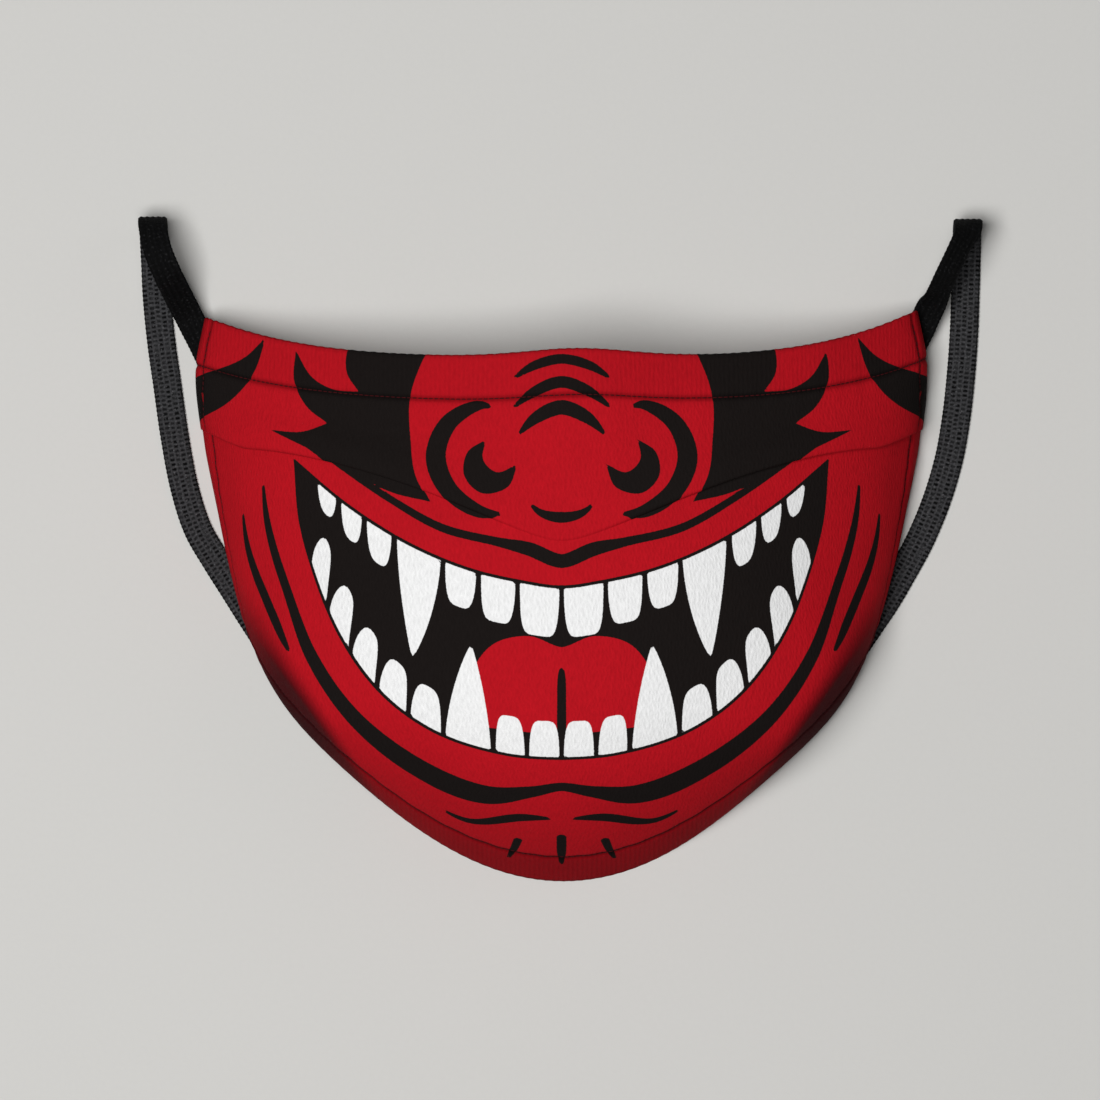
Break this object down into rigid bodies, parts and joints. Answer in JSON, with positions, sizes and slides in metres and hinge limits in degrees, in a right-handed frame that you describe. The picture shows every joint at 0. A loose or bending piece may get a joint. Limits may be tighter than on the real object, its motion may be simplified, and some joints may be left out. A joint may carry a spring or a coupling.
{
  "type": "pleated cloth face mask",
  "caption": "Printed cloth face mask with hemmed edges, a side pleat, a plain lining and flat elastic ear loops, lying face up.",
  "frame": {"origin": "on the surface that the mask lies on, below the middle of the cloth body's outline, ear loops left out", "axes": "+X towards the wearer's left ear as seen from the front, +Y towards the nose edge, +Z out of the printed front"},
  "size_m": [0.1849, 0.1457, 0.044],
  "materials": {
    "printed_cloth": "woven polyester, dye printed in red, black and white, matt",
    "lining_cloth": "plain woven cotton, off-white, matt",
    "black_elastic": "flat knitted elastic, black, matt"
  },
  "bodies": {
    "root": {"outer_panel": "printed_cloth", "lining": "lining_cloth", "ear_loop_left": "black_elastic", "ear_loop_right": "black_elastic"}
  },
  "joints": []
}
